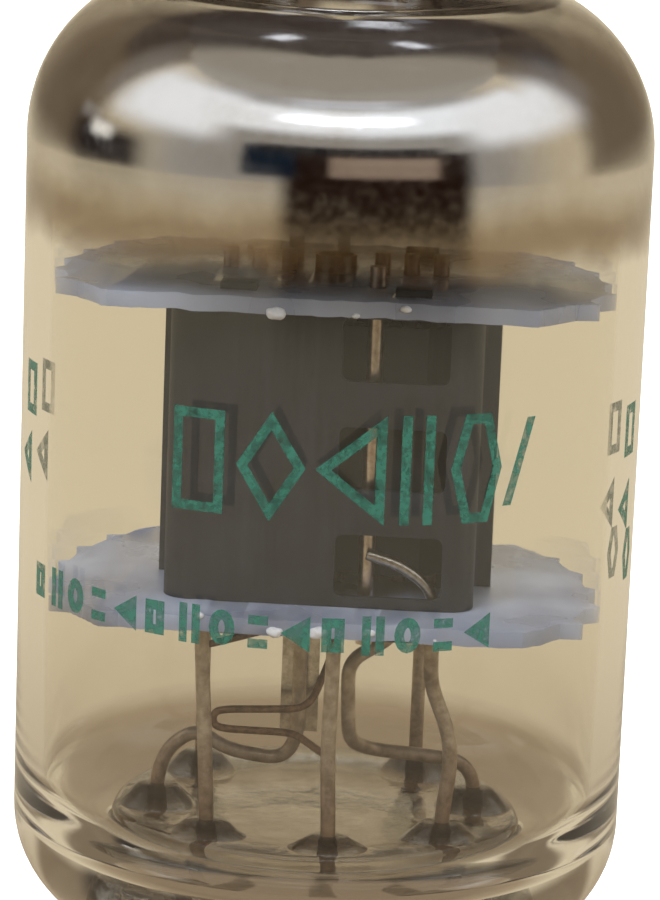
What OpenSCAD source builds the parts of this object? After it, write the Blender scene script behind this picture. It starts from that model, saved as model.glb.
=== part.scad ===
// Seven-pin miniature receiving tube: a glass pentode with a button stem and a sealed tip.
// The origin is the centre of the base seat, the flat underside of the glass.
// +Z points up to the exhaust tip. The cage's windows look to the front, towards -Y.
// Pin 4 is at the front, turned a little to the right, and the gap between pins is at the back.
// Seen from below, the pins count clockwise from the gap.

/* [Bulb] */
// Outside diameter of the bulb
bulb_d = 18; // [17:0.1:22]
// Thickness of the bulb's glass
bulb_wall = 0.8; // [0.6:0.05:1]
// Thickness of the glass at the crown
crown_wall = 1.3; // [0.8:0.05:1.6]
// Height of the crown above the base seat
crown_h = 28; // [27:0.1:36]
// Outside radius of the shoulder between side and crown
shoulder_r = 4.8; // [4:0.1:5.8]
// Outside radius of the bulb's foot
foot_r = 3.3; // [2.7:0.1:4]
// Inside radius of the bulb's foot
foot_inside_r = 2.6; // [2:0.1:3.2]
// Height of the sealed exhaust tip above the crown
tip_h = 5.5; // [4:0.1:8]
// Diameter of the exhaust tip where it leaves the crown
tip_d = 3.4; // [2.8:0.1:4.2]
// Diameter of the exhaust tip's rounded end
tip_end_d = 1.6; // [1:0.1:2.6]

/* [Getter] */
// Depth of the getter film below the inside of the crown
film_h = 6.5; // [5:0.1:9]
// Thickness of the getter film
film_t = 0.05; // [0.04:0.01:0.1]
// Outside diameter of the getter ring
getter_d = 4.6; // [3.6:0.1:5.6]
// Width of the getter ring's channel, walls included
getter_channel = 0.6; // [0.5:0.05:0.8]
// Sheet thickness of the getter ring's channel
getter_t = 0.12; // [0.1:0.01:0.15]
// Height of the getter ring above the top mica
getter_lift = 2.4; // [1.5:0.1:2.8]
// Diameter of the wire that holds the getter
getter_wire_d = 0.4; // [0.3:0.05:0.5]
// Length over which the getter wire is welded to the shield
getter_weld_l = 1.6; // [1:0.1:3]

/* [Stem and pins] */
// Diameter of the circle through the pins
pin_circle_d = 9.525; // [8:0.005:11.5]
// Diameter of a pin
pin_d = 1.016; // [0.8:0.002:1.25]
// Angle by which the pins are turned against the cage
pin_turn = 8; // [0:1:10]
// Length of a pin below the base seat
pin_l = 6.6; // [5.5:0.1:8]
// Depth of a pin in the glass
pin_seat = 1.2; // [0.9:0.1:1.6]
// Diameter of a pin where it is sealed in the glass
pin_seal_d = 0.68; // [0.55:0.01:0.7]
// Thickness of the button at its rim
stem_t = 2.4; // [2:0.1:3]
// Height of the button's raised middle above its rim
plateau_h = 0.9; // [0.5:0.1:1.2]
// Width of the button's rim outside the raised middle
stem_rim = 0.25; // [0.2:0.05:0.5]
// Diameter of a glass bead at its foot
bead_d = 2.6; // [2:0.1:2.8]
// Diameter of a glass bead at its top
bead_top_d = 1.1; // [0.8:0.1:1.4]
// Height of a glass bead above the raised middle
bead_h = 0.6; // [0.4:0.05:0.9]
// Flat glass between a bead and the edge of the raised middle
bead_margin = 0.1; // [0.05:0.01:0.2]
// Diameter of the inner leads
lead_d = 0.45; // [0.35:0.01:0.55]

/* [Mica spacers] */
// Height of the bottom mica's underside above the base seat
cage_z = 9.85; // [9.2:0.05:12]
// Thickness of a mica
mica_t = 0.45; // [0.3:0.01:0.6]
// Gap between the micas' round edge and the bulb
mica_gap = 0.4; // [0.25:0.05:0.6]
// Gap between the tips of the micas' teeth and the bulb
tooth_gap = 0.05; // [0.02:0.01:0.1]
// Width of a tooth at its root
tooth_w = 0.7; // [0.5:0.05:0.9]
// Width of a tooth at its tip
tooth_tip_w = 0.24; // [0.1:0.02:0.4]
// Teeth on each round edge
tooth_count = 5; // [3:1:5]
// Angle between neighbouring teeth
tooth_step = 14; // [8:1:15]
// Width of mica in front of and behind the shield
mica_lip = 1.8; // [1.2:0.1:2.2]
// Clearance all round a piece that passes through a mica
mica_fit = 0.02; // [0.01:0.01:0.05]

/* [Shield] */
// Height of the shield between the micas
shield_h = 8.65; // [7.2:0.05:10.4]
// Sheet thickness of the shield
shield_t = 0.2; // [0.15:0.01:0.25]
// Side gap between the anode and the shield
shield_gap = 0.375; // [0.3:0.005:0.6]
// Width of the shield's cut-off corners
shield_corner = 0.6; // [0.4:0.05:0.8]
// Width of the welded flanges at the shield's sides
flange_w = 0.5; // [0.3:0.05:0.7]
// Distance from the shield's middle to the window column
window_x = 1.98; // [1.6:0.01:2.1]
// Width of a window
window_w = 3; // [2:0.1:3.2]
// Height of a window
window_h = 1.8; // [1.2:0.1:2]
// Distance from one window to the next
window_pitch = 3.1; // [2.4:0.1:3.2]
// Distance from the shield's middle to a lug
lug_x = 2.4; // [1.6:0.1:2.8]
// Width of a lug
lug_w = 1; // [0.6:0.1:1.2]
// Length of a top lug where it lies on the mica
lug_fold = 0.8; // [0.4:0.1:1]
// Length of a bottom lug below the mica
lug_out = 0.5; // [0.3:0.1:0.8]

/* [Anode] */
// Height of the anode
anode_h = 7.2; // [6:0.1:7.6]
// Sheet thickness of the anode
anode_t = 0.15; // [0.1:0.01:0.2]
// Width of the anode's cut-off corners
anode_corner = 1; // [0.6:0.1:1.2]
// Gap in front of and behind the suppressor grid
anode_depth_gap = 0.2; // [0.15:0.01:0.4]
// Distance of each anode rod from the middle
anode_rod_x = 1.35; // [0.6:0.01:2]
// Diameter of the wire strap from the anode rod to pin 5
strap_d = 0.36; // [0.25:0.01:0.45]
// Gap between that strap and the shield
strap_gap = 0.09; // [0.05:0.01:0.2]
// Distance from the shield's middle to the strap's hole in the mica
strap_x = 3.3; // [2.8:0.05:3.3]

/* [Grids] */
// Diameter of the side rods
rod_d = 0.45; // [0.35:0.01:0.55]
// Length of the rods above the top mica
rod_top_out = 0.6; // [0.4:0.1:1]
// Length of the rods below the bottom mica
rod_bottom_out = 0.8; // [0.6:0.1:1]
// Diameter of the grid wire
wire_d = 0.1; // [0.08:0.01:0.12]
// Side gap between the cathode and the control grid's rods
control_gap = 0.465; // [0.3:0.005:0.6]
// Front gap between the cathode and the control grid's wire
control_depth_gap = 0.29; // [0.2:0.01:0.4]
// Side gap between neighbouring grids, and between the last grid and the anode
grid_gap = 0.3; // [0.2:0.01:0.4]
// Front gap between neighbouring grids
grid_depth_gap = 0.4; // [0.25:0.01:0.5]
// Length of rod left free of wire at each end
grid_bare = 0.9; // [0.6:0.1:1.2]
// Pitch of the control grid's turns
control_pitch = 0.4; // [0.3:0.05:0.6]
// Pitch of the screen grid's turns
screen_pitch = 0.6; // [0.4:0.05:0.8]
// Pitch of the suppressor grid's turns
suppressor_pitch = 1; // [0.8:0.1:1.4]

/* [Cathode and heater] */
// Outside diameter of the cathode sleeve
cathode_d = 1.2; // [1:0.05:1.5]
// Wall of the cathode sleeve
cathode_wall = 0.08; // [0.05:0.01:0.1]
// Length of the sleeve above the top mica
cathode_top_out = 0.5; // [0.3:0.1:0.8]
// Length of the sleeve below the bottom mica
cathode_bottom_out = 0.5; // [0.4:0.1:0.6]
// Thickness of the oxide coating
coating_t = 0.06; // [0.04:0.01:0.1]
// Length of sleeve left bare at each end of the coating
coating_bare = 0.8; // [0.5:0.1:1.5]
// Diameter of the insulated heater wire
heater_d = 0.24; // [0.18:0.01:0.26]
// Distance between the heater's two legs
heater_pitch = 0.5; // [0.4:0.01:0.54]
// Distance from the heater's bend to the top mica
heater_short = 1; // [0.5:0.1:2]
// Length of the heater's legs below the cathode sleeve
heater_out = 0.35; // [0.2:0.05:0.4]
// Thickness of the ribbon welded to the cathode sleeve
tab_t = 0.12; // [0.08:0.01:0.15]
// Width of that ribbon
tab_w = 1.1; // [0.7:0.05:1.1]
// Length of that ribbon on the sleeve
tab_h = 0.45; // [0.35:0.05:0.5]
// Length of that ribbon below the sleeve
tab_l = 3.6; // [2:0.1:3.6]
// Diameter of the link from the suppressor grid to the shield
link_d = 0.3; // [0.2:0.01:0.4]

/* [Hidden] */
$fn = 48;
eps = 0.01;
pin_count = 7;
pin_step = 45;
front_pin = 4;
wire_sides = 10;
bend_l = 0.55;
bend_steps = 4;

bulb_r = bulb_d / 2;
bore_r = bulb_r - bulb_wall;
bore_top = crown_h - crown_wall;
shoulder_inside_r = shoulder_r - bulb_wall;
pin_circle_r = pin_circle_d / 2;
plateau_r = pin_circle_r + bead_d / 2 + bead_margin;
plateau_z = stem_t + plateau_h;
bead_z = plateau_z + bead_h;
stem_r = plateau_r + stem_rim;

mica_r = bore_r - mica_gap;
tooth_r = bore_r - tooth_gap;
cage_bottom = cage_z + mica_t;
cage_top = cage_bottom + shield_h;
cage_mid = (cage_bottom + cage_top) / 2;
deck_z = cage_top + mica_t;
rod_low = cage_z - rod_bottom_out;
rod_high = deck_z + rod_top_out;
rod_r = rod_d / 2;
lead_r = lead_d / 2;
side_by_side = rod_r + lead_r;

coated_r = cathode_d / 2 + coating_t;
control_x = coated_r + control_gap + rod_r;
control_y = coated_r + control_depth_gap;
grid_step = rod_d + wire_d + grid_gap;
screen_x = control_x + grid_step;
screen_y = control_y + wire_d + grid_depth_gap;
suppressor_x = screen_x + grid_step;
suppressor_y = screen_y + wire_d + grid_depth_gap;

anode_w = 2 * (suppressor_x + rod_r + wire_d + grid_gap + anode_t);
anode_depth = 2 * (suppressor_y + wire_d + anode_depth_gap + anode_t);
anode_rod_y = anode_depth / 2 + rod_r;
strap_y = anode_rod_y + rod_r + strap_d / 2;
shield_w = anode_w + 2 * (shield_gap + shield_t);
shield_depth = 2 * (strap_y + strap_d / 2 + strap_gap + shield_t);
mica_depth = shield_depth + 2 * mica_lip;

cathode_low = cage_z - cathode_bottom_out;
cathode_high = deck_z + cathode_top_out;
heater_low = cathode_low - heater_out;
tab_y = cathode_d / 2 + tab_t;
getter_wire_y = shield_depth / 2 + getter_wire_d / 2;
getter_y = getter_wire_y - getter_wire_d / 2 - getter_d / 2;
getter_z = deck_z + getter_lift;

// Vector tools for the wires.
function unit(v) = v / norm(v);
function square_to(v, way) = unit(v - (v * way) * way);
function carry_side(ways, sides) =
    len(sides) == len(ways) ? sides
    : carry_side(ways, concat(sides, [square_to(sides[len(sides) - 1], ways[len(sides)])]));

// The points of one rounded bend at b, on the way from a to c.
function bend(a, b, c) =
    let (
        start = b + unit(a - b) * min(bend_l, 0.45 * norm(a - b)),
        end = b + unit(c - b) * min(bend_l, 0.45 * norm(c - b))
    )
    [for (t = [0:1 / bend_steps:1]) (1 - t) * (1 - t) * start + 2 * t * (1 - t) * b + t * t * end];
function round_bends(route) = concat(
    [route[0]],
    [for (i = [1:len(route) - 2]) each bend(route[i - 1], route[i], route[i + 1])],
    [route[len(route) - 1]]
);

// The place of a pin on the pin circle, at a height.
function pin_spot(number, z) =
    let (angle = pin_turn - 90 + pin_step * (number - front_pin))
    [pin_circle_r * cos(angle), pin_circle_r * sin(angle), z];

// Where an inner lead starts on its pin, and where it leaves its bead.
function lead_root(number) = [pin_spot(number, pin_seat), pin_spot(number, bead_z + 0.25)];

// The heater's two tails: one loops out to the left and back to lead 4, one goes to lead 3.
heater_loop_y = -suppressor_y;
lead_3_end = [pin_spot(3, 0).x - 0.3, pin_spot(3, 0).y, cage_z - 0.2];
lead_3_joint = lead_3_end + 0.11 * (pin_spot(3, bead_z + 0.25) - lead_3_end);
lead_4_bend = [0.55, -pin_circle_r + 0.45, bead_z + 2.2];
long_tail = [
    [heater_pitch / 2, 0, heater_low],
    [heater_pitch / 2 + 0.15, -0.5, heater_low - 0.8],
    [-0.2, heater_loop_y + 0.3, bead_z + 2.8],
    [-2.7, heater_loop_y, bead_z + 2.75],
    [-2.95, heater_loop_y, bead_z + 2.6],
    [-2.95, heater_loop_y, bead_z + 2.3],
    [-2.7, heater_loop_y, bead_z + 2.15],
    [-0.6, heater_loop_y, bead_z + 2.15],
    lead_4_bend + [-0.1, 0.8 * lead_r, 0]
];
short_tail = [
    [-heater_pitch / 2, 0, heater_low],
    [-heater_pitch / 2 - 0.15, 0, heater_low - 0.3],
    [-tab_w - 0.35, -0.2, heater_low - 0.3],
    lead_3_joint + [0.7 * lead_r, 0.7 * lead_r, 0]
];

// The route of each inner lead, from its pin to the electrode that it feeds.
lead_routes = [
    concat(lead_root(1), [
        pin_spot(1, cage_z - 1.4),
        [-control_x, side_by_side, rod_low - 0.3],
        [-control_x, side_by_side, cage_z - 0.2]
    ]),
    concat(lead_root(2), [
        [-pin_circle_r + 0.35, -0.6, bead_z + 1.1],
        [-pin_circle_r + 1.2, -0.7, bead_z + 1.75],
        [-pin_circle_r + 2.1, -0.85, bead_z + 1.2],
        [-1, -tab_y - lead_r, bead_z + 1],
        [-tab_w / 2, -tab_y - lead_r, bead_z + 1.7],
        [-tab_w / 2, -tab_y - lead_r, cathode_low + tab_h]
    ]),
    concat(lead_root(3), [lead_3_end]),
    concat(lead_root(4), [
        lead_4_bend,
        [0.6, -pin_circle_r + 0.6, cage_z - 0.3]
    ]),
    concat(lead_root(5), [
        pin_spot(5, bead_z + 1.7) + [0.18, 0, 0],
        pin_spot(5, bead_z + 2.7) + [0.08, 0, 0],
        pin_spot(5, bead_z + 4) + [-0.45, 0, 0],
        [strap_x, -strap_y - strap_d / 2 - lead_r, cage_z - 1.2],
        [strap_x, -strap_y - strap_d / 2 - lead_r, cage_z - 0.2]
    ]),
    concat(lead_root(6), [
        [pin_circle_r - 0.55, 0.55, bead_z + 0.85],
        [1.5, 0.3, bead_z + 1.1],
        [0.95, -0.9, bead_z + 1.7],
        [0.85, -1, rod_low - 1],
        [screen_x, -side_by_side, rod_low - 0.3],
        [screen_x, -side_by_side, cage_z - 0.2]
    ]),
    concat(lead_root(7), [
        pin_spot(7, cage_z - 1.8),
        [lug_x, shield_depth / 2 + lead_r, cage_z - 0.9],
        [lug_x, shield_depth / 2 + lead_r, cage_z - 0.1]
    ])
];

// Half of the outline of a bottle with rounded shoulder and foot, to be turned about Z.
module bottle_half(r, low, high, shoulder, foot) {
    translate([0, low + foot])
        square([r, high - low - shoulder - foot]);
    translate([0, high - shoulder])
        square([r - shoulder, shoulder]);
    translate([0, low])
        square([r - foot, foot]);
    intersection() {
        translate([r - shoulder, high - shoulder])
            circle(r = shoulder);
        translate([r - shoulder, high - shoulder])
            square(shoulder);
    }
    intersection() {
        translate([r - foot, low + foot])
            circle(r = foot);
        translate([r - foot, low])
            square(foot);
    }
}

// The hollow of the bulb, less a layer on its wall.
module bulb_hollow(layer) {
    rotate_extrude()
        bottle_half(bore_r - layer, stem_t, bore_top - layer, shoulder_inside_r - layer, foot_inside_r);
}

// A round wire swept along a list of points, with each bend rounded.
module bent_wire(route, d) {
    path = round_bends(route);
    last = len(path) - 1;
    ways = [for (i = [0:last]) unit(path[min(i + 1, last)] - path[max(i - 1, 0)])];
    sides = carry_side(ways, [square_to([0.3, 1, 0.2], ways[0])]);
    polyhedron(
        points = [
            for (i = [0:last])
                for (k = [0:wire_sides - 1])
                    let (angle = 360 * k / wire_sides)
                    path[i] + d / 2 * (cos(angle) * sides[i] + sin(angle) * cross(ways[i], sides[i]))
        ],
        faces = concat(
            [[for (k = [0:wire_sides - 1]) k]],
            [
                for (i = [0:last - 1])
                    for (k = [0:wire_sides - 1])
                        let (here = i * wire_sides + k, next = i * wire_sides + (k + 1) % wire_sides)
                        [here, here + wire_sides, next + wire_sides, next]
            ],
            [[for (k = [0:wire_sides - 1]) (last + 1) * wire_sides - 1 - k]]
        )
    );
}

// A rectangle with cut-off corners, centred.
module cut_box(w, depth, corner) {
    x = w / 2;
    y = depth / 2;
    polygon([
        [x - corner, -y], [x, corner - y], [x, y - corner], [x - corner, y],
        [corner - x, y], [-x, y - corner], [-x, corner - y], [corner - x, -y]
    ]);
}

// The section of a tube bent from sheet t thick, with cut-off corners.
module sheet_ring(w, depth, corner, t) {
    difference() {
        cut_box(w, depth, corner);
        cut_box(w - 2 * t, depth - 2 * t, corner - t * (2 - sqrt(2)));
    }
}

// A stadium with straight sides along X: its half length and half depth.
module stadium(half_l, half_depth) {
    square([2 * (half_l - half_depth), 2 * half_depth], center = true);
    for (side = [-1, 1])
        translate([side * (half_l - half_depth), 0])
            circle(r = half_depth);
}

module envelope() {
    color([0.84, 0.82, 0.74, 0.35])
        difference() {
            union() {
                rotate_extrude()
                    bottle_half(bulb_r, 0, crown_h, shoulder_r, foot_r);
                translate([0, 0, crown_h - crown_wall / 2])
                    cylinder(d1 = tip_d, d2 = tip_end_d, h = tip_h + crown_wall / 2 - tip_end_d / 2);
                translate([0, 0, crown_h + tip_h - tip_end_d / 2])
                    sphere(d = tip_end_d);
            }
            bulb_hollow(0);
            translate([0, 0, -eps])
                cylinder(r = stem_r, h = bead_z);
        }
}

module getter_film() {
    color([0.55, 0.53, 0.5])
        intersection() {
            difference() {
                bulb_hollow(0);
                bulb_hollow(film_t);
            }
            translate([0, 0, bore_top - film_h])
                cylinder(r = bulb_r, h = film_h + eps);
        }
}

module getter_ring() {
    outer = getter_d / 2;
    color([0.45, 0.44, 0.43])
        translate([0, getter_y, getter_z])
            rotate_extrude()
                difference() {
                    translate([outer - getter_channel, 0])
                        square([getter_channel, getter_channel]);
                    translate([outer - getter_channel + getter_t, getter_t])
                        square([getter_channel - 2 * getter_t, getter_channel]);
                }
}

module getter_wire() {
    color([0.6, 0.6, 0.58])
        translate([0, getter_wire_y, cage_top - getter_weld_l])
            cylinder(d = getter_wire_d, h = getter_weld_l + mica_t + getter_lift + getter_channel);
}

module stem() {
    color([0.62, 0.62, 0.56, 0.6])
        difference() {
            union() {
                cylinder(r = stem_r, h = stem_t);
                cylinder(r = plateau_r, h = plateau_z);
                for (number = [1:pin_count])
                    translate(pin_spot(number, plateau_z))
                        cylinder(d1 = bead_d, d2 = bead_top_d, h = bead_h);
            }
            for (number = [1:pin_count]) {
                translate(pin_spot(number, -eps))
                    cylinder(d = pin_seal_d, h = pin_seat + eps);
                translate(pin_spot(number, 0))
                    cylinder(d = lead_d, h = bead_z + eps);
            }
        }
}

module pin(number) {
    color([0.72, 0.71, 0.69])
        translate(pin_spot(number, pin_d / 2 - pin_l)) {
            sphere(d = pin_d);
            cylinder(d = pin_d, h = pin_l - pin_d / 2);
            cylinder(d = pin_seal_d, h = pin_l - pin_d / 2 + pin_seat);
        }
}

module lead(number) {
    color([0.56, 0.48, 0.4])
        bent_wire(lead_routes[number - 1], lead_d);
}

// A mica with the holes that both spacers share. Its children are cut out too.
module mica(z) {
    color([0.76, 0.76, 0.76])
        difference() {
            translate([0, 0, z])
                linear_extrude(mica_t)
                    mica_outline();
            translate([0, 0, z - eps])
                linear_extrude(mica_t + 2 * eps) {
                    circle(d = cathode_d + 2 * mica_fit);
                    for (x = [control_x, screen_x, suppressor_x])
                        for (side = [-1, 1])
                            translate([side * x, 0])
                                circle(d = rod_d + 2 * mica_fit);
                    for (turn = [0, 180])
                        rotate(turn) {
                            translate([anode_rod_x, -anode_rod_y])
                                circle(d = rod_d + 2 * mica_fit);
                            for (side = [-1, 1])
                                translate([side * lug_x, (shield_t - shield_depth) / 2])
                                    square([lug_w + 2 * mica_fit, shield_t + 2 * mica_fit], center = true);
                        }
                    children();
                }
        }
}

module mica_outline() {
    intersection() {
        circle(r = mica_r);
        square([2 * mica_r, mica_depth], center = true);
    }
    for (turn = [0, 180])
        for (place = [0:tooth_count - 1])
            rotate(turn + tooth_step * (place - (tooth_count - 1) / 2))
                polygon([
                    [mica_r - mica_gap, -tooth_w / 2], [tooth_r, -tooth_tip_w / 2],
                    [tooth_r, tooth_tip_w / 2], [mica_r - mica_gap, tooth_w / 2]
                ]);
}

module bottom_mica() {
    mica(cage_z)
        translate([strap_x, -strap_y])
            circle(d = strap_d + 2 * mica_fit);
}

module top_mica() {
    mica(cage_top)
        translate([0, getter_wire_y])
            circle(d = getter_wire_d + 2 * mica_fit);
}

// One stamped half of the shield, as the front one.
module shield_half() {
    face_y = -shield_depth / 2;
    color([0.33, 0.33, 0.32]) {
        difference() {
            translate([0, 0, cage_bottom])
                linear_extrude(shield_h) {
                    difference() {
                        sheet_ring(shield_w, shield_depth, shield_corner, shield_t);
                        translate([-shield_w, 0])
                            square([2 * shield_w, shield_depth]);
                    }
                    for (side = [-1, 1])
                        translate([side * (shield_w + flange_w - eps) / 2, -shield_t / 2])
                            square([flange_w + eps, shield_t], center = true);
                }
            for (step = [-1:1])
                translate([window_x, face_y, cage_mid + step * window_pitch])
                    cube([window_w, 4 * shield_t, window_h], center = true);
        }
        for (side = [-1, 1]) {
            translate([side * lug_x - lug_w / 2, face_y, cage_z - lug_out])
                cube([lug_w, shield_t, lug_out + mica_t]);
            translate([side * lug_x - lug_w / 2, face_y, cage_top])
                cube([lug_w, shield_t, mica_t + shield_t]);
            translate([side * lug_x - lug_w / 2, face_y - lug_fold, deck_z])
                cube([lug_w, lug_fold + shield_t, shield_t]);
        }
    }
}

module shield_front() {
    shield_half();
}

module shield_back() {
    rotate(180)
        shield_half();
}

module anode() {
    color([0.24, 0.24, 0.23])
        translate([0, 0, cage_mid - anode_h / 2])
            linear_extrude(anode_h)
                sheet_ring(anode_w, anode_depth, anode_corner, anode_t);
}

module electrode_rod(x, y) {
    color([0.7, 0.62, 0.54])
        translate([x, y, rod_low])
            cylinder(d = rod_d, h = rod_high - rod_low);
}

module anode_rod_front() {
    electrode_rod(anode_rod_x, -anode_rod_y);
}

module anode_rod_back() {
    electrode_rod(-anode_rod_x, anode_rod_y);
}

module anode_strap() {
    low_z = cage_mid - window_pitch;
    color([0.66, 0.62, 0.57])
        bent_wire([
            [anode_rod_x, -strap_y, low_z + 0.25],
            [(anode_rod_x + strap_x) / 2, -strap_y, low_z],
            [strap_x, -strap_y, cage_bottom + 0.5],
            [strap_x, -strap_y, cage_z - 0.8]
        ], strap_d);
}

module grid_rods(x) {
    for (side = [-1, 1])
        electrode_rod(side * x, 0);
}

// The turns of a grid, each an oval loop round the rods at plus and minus x.
module grid_wire(x, half_depth, pitch) {
    first = cage_bottom + grid_bare;
    turns = floor((shield_h - 2 * grid_bare) / pitch);
    color([0.62, 0.6, 0.56])
        for (turn = [0:turns])
            translate([0, 0, first + turn * pitch])
                linear_extrude(wire_d)
                    difference() {
                        stadium(x + rod_r + wire_d, half_depth + wire_d);
                        stadium(x + rod_r, half_depth);
                    }
}

module suppressor_rods() {
    grid_rods(suppressor_x);
}

module suppressor_wire() {
    grid_wire(suppressor_x, suppressor_y, suppressor_pitch);
}

module suppressor_link() {
    color([0.66, 0.62, 0.57])
        bent_wire([
            [suppressor_x, rod_r, rod_low + 0.2],
            [suppressor_x, rod_r + link_d, rod_low + 0.25],
            [lug_x, shield_depth / 2 - shield_t - link_d, cage_z - lug_out + link_d / 2],
            [lug_x, shield_depth / 2 - shield_t, cage_z - lug_out + link_d / 2]
        ], link_d);
}

module screen_rods() {
    grid_rods(screen_x);
}

module screen_wire() {
    grid_wire(screen_x, screen_y, screen_pitch);
}

module control_rods() {
    grid_rods(control_x);
}

module control_wire() {
    grid_wire(control_x, control_y, control_pitch);
}

module cathode_sleeve() {
    color([0.68, 0.67, 0.64])
        translate([0, 0, cathode_low])
            difference() {
                cylinder(d = cathode_d, h = cathode_high - cathode_low);
                translate([0, 0, -eps])
                    cylinder(d = cathode_d - 2 * cathode_wall, h = cathode_high - cathode_low + 2 * eps);
            }
}

module cathode_coating() {
    coated_h = shield_h - 2 * coating_bare;
    color([0.93, 0.92, 0.88])
        translate([0, 0, cage_bottom + coating_bare])
            difference() {
                cylinder(r = coated_r, h = coated_h);
                translate([0, 0, -eps])
                    cylinder(d = cathode_d, h = coated_h + 2 * eps);
            }
}

module cathode_tab() {
    color([0.66, 0.62, 0.57])
        translate([-tab_w, -tab_y, cathode_low - tab_l])
            cube([tab_w, tab_t, tab_l + tab_h]);
}

module heater() {
    bend_z = cage_top - heater_short;
    color([0.9, 0.89, 0.86]) {
        for (side = [-1, 1])
            translate([side * heater_pitch / 2, 0, heater_low])
                cylinder(d = heater_d, h = bend_z - heater_low);
        translate([0, 0, bend_z])
            rotate([90, 0, 0])
                rotate_extrude(angle = 180)
                    translate([heater_pitch / 2, 0])
                        circle(d = heater_d);
    }
}

module heater_long_tail() {
    color([0.5, 0.38, 0.28])
        bent_wire(long_tail, heater_d);
}

module heater_short_tail() {
    color([0.5, 0.38, 0.28])
        bent_wire(short_tail, heater_d);
}

envelope();
getter_film();
getter_ring();
getter_wire();
stem();
for (number = [1:pin_count])
    pin(number);
for (number = [1:pin_count])
    lead(number);
bottom_mica();
top_mica();
shield_front();
shield_back();
anode();
anode_rod_front();
anode_rod_back();
anode_strap();
suppressor_rods();
suppressor_wire();
suppressor_link();
screen_rods();
screen_wire();
control_rods();
control_wire();
cathode_sleeve();
cathode_coating();
cathode_tab();
heater();
heater_long_tail();
heater_short_tail();
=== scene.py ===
import math

import bmesh
import bpy
from mathutils import Matrix, Vector, noise


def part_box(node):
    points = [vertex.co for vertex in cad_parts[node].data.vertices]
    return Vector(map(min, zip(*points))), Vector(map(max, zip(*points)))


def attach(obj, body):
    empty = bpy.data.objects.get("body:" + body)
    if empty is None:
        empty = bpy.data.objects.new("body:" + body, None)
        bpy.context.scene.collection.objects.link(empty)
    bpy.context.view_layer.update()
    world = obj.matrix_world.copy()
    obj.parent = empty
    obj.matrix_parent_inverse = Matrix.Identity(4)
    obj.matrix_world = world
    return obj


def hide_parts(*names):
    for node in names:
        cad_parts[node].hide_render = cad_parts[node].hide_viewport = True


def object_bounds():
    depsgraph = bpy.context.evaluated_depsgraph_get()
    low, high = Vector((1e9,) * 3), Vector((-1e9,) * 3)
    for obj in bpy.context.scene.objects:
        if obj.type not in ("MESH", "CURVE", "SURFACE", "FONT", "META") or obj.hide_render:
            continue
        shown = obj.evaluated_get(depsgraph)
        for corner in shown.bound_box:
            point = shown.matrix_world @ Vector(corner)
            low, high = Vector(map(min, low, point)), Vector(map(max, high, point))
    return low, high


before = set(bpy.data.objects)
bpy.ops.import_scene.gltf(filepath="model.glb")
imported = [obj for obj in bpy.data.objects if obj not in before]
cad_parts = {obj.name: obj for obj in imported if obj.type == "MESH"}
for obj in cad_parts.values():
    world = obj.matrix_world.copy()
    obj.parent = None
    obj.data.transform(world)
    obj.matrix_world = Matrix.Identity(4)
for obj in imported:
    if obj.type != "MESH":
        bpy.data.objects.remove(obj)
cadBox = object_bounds()

# Work is done in millimetres and brought into the frame, in metres, at the end of each piece.
mm = 0.001
bulbLow, bulbHigh = [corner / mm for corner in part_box("envelope")]
stemLow, stemHigh = [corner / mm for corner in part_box("stem")]
pinLow, pinHigh = [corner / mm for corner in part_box("pin_4")]
topMicaLow, topMicaHigh = [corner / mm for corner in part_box("top_mica")]
bottomMicaLow, bottomMicaHigh = [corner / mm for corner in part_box("bottom_mica")]
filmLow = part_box("getter_film")[0] / mm
bulbRadius = bulbHigh.x
bulbTop = bulbHigh.z
stemRadius = stemHigh.x


def linearColour(hexText):
    parts = [int(hexText[i:i + 2], 16) / 255 for i in (1, 3, 5)]
    return tuple(p / 12.92 if p <= 0.04045 else ((p + 0.055) / 1.055) ** 2.4 for p in parts) + (1,)


def addNode(tree, kind, settings=None, links=None):
    node = tree.nodes.new(kind)
    for name, value in (settings or {}).items():
        if isinstance(name, str) and hasattr(node, name):
            setattr(node, name, value)
        else:
            node.inputs[name].default_value = value
    for name, source in (links or {}).items():
        tree.links.new(source, node.inputs[name])
    return node


def newMaterial(name):
    material = bpy.data.materials.new(name)
    material.use_nodes = True
    tree = material.node_tree
    tree.nodes.clear()
    return material, tree


def mmPlace(tree, stretch=(1, 1, 1)):
    # object coordinates in millimetres, squeezed along an axis where a pattern is long
    place = addNode(tree, "ShaderNodeTexCoord")
    scale = [s / mm for s in stretch]
    links = {"Vector": place.outputs["Object"]}
    return addNode(tree, "ShaderNodeMapping", {"Scale": scale}, links).outputs[0]


def grain(tree, place, scale, detail=3, roughness=0.55):
    return addNode(tree, "ShaderNodeTexNoise", {"Scale": scale, "Detail": detail, "Roughness": roughness},
                   {"Vector": place}).outputs["Fac"]


def ramp(tree, factor, stops):
    node = addNode(tree, "ShaderNodeValToRGB", None, {"Fac": factor})
    elements = node.color_ramp.elements
    elements[0].position, elements[1].position = stops[0][0], stops[-1][0]
    for place, _ in stops[1:-1]:
        elements.new(place)
    for element, (_, colour) in zip(elements, stops):
        element.color = linearColour(colour) if isinstance(colour, str) else (colour, colour, colour, 1)
    return node.outputs["Color"]


def bump(tree, height, strength, distance):
    return addNode(tree, "ShaderNodeBump", {"Strength": strength, "Distance": distance * mm},
                   {"Height": height}).outputs["Normal"]


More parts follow.
